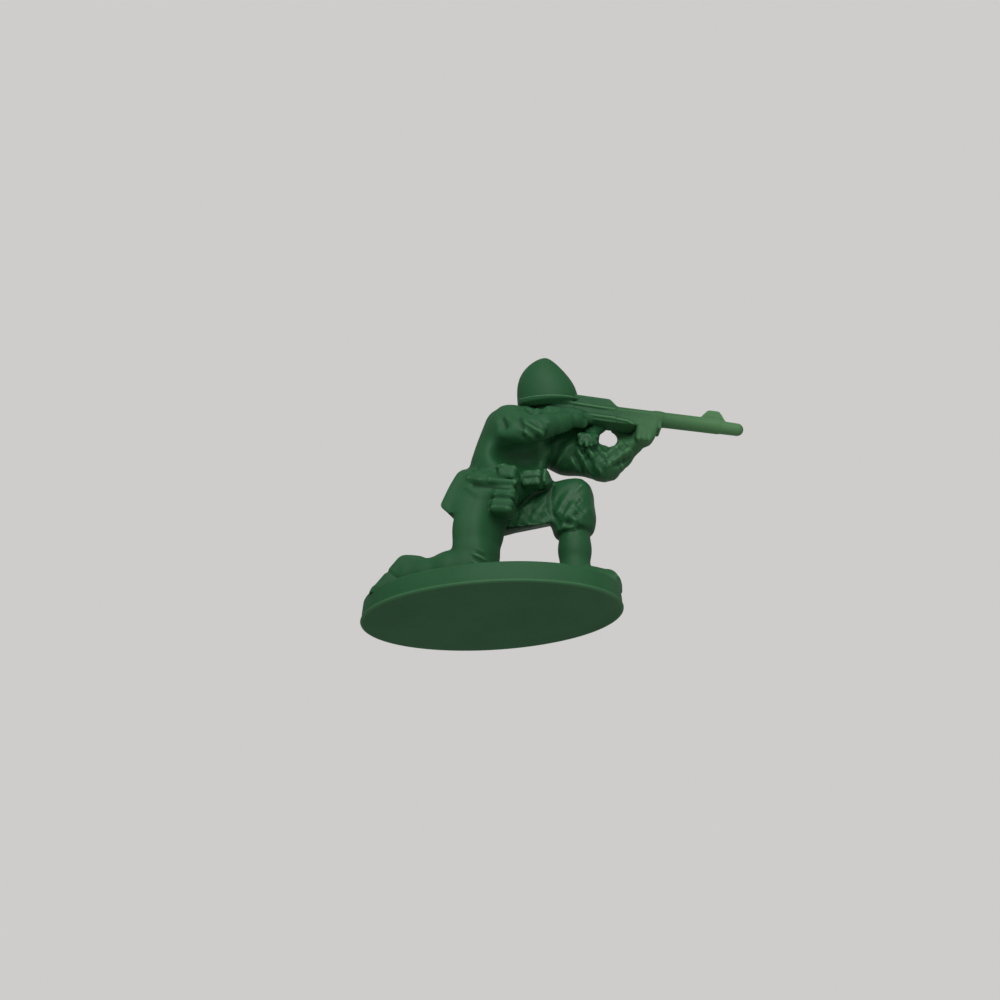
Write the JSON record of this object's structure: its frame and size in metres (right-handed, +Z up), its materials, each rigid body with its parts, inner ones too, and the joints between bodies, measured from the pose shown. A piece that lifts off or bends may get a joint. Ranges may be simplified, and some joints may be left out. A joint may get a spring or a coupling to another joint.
{
  "type": "toy soldier figure",
  "caption": "Kneeling toy foot soldier moulded in green plastic on an oval base, aiming a rifle; it stands on a table for pretend play.",
  "frame": {"origin": "middle of the oval base's flat underside", "axes": "+X the way the rifle aims, along the base's length; +Z up; -Y the soldier's right side"},
  "size_m": [0.0393, 0.0168, 0.0283],
  "materials": {
    "plastic": "satin dark green moulded polyethylene, slightly see-through where it is thin"
  },
  "bodies": {
    "root": {"base": "plastic", "right_boot": "plastic", "right_shin": "plastic", "right_knee": "plastic", "right_thigh": "plastic", "left_boot": "plastic", "left_shin": "plastic", "left_knee": "plastic", "left_thigh": "plastic", "hips": "plastic", "jacket_skirt": "plastic", "belt": "plastic", "jacket": "plastic", "collar": "plastic", "head": "plastic", "helmet_rim": "plastic", "helmet": "plastic", "right_upper_arm": "plastic", "right_forearm": "plastic", "right_hand": "plastic", "left_upper_arm": "plastic", "left_forearm": "plastic", "left_hand": "plastic", "rifle_stock": "plastic", "rifle_receiver": "plastic", "receiver_cover": "plastic", "rifle_fore_end": "plastic", "rifle_barrel": "plastic", "front_sight": "plastic", "ribbed_pouch": "plastic", "small_pouch": "plastic", "canteen": "plastic"}
  },
  "joints": []
}
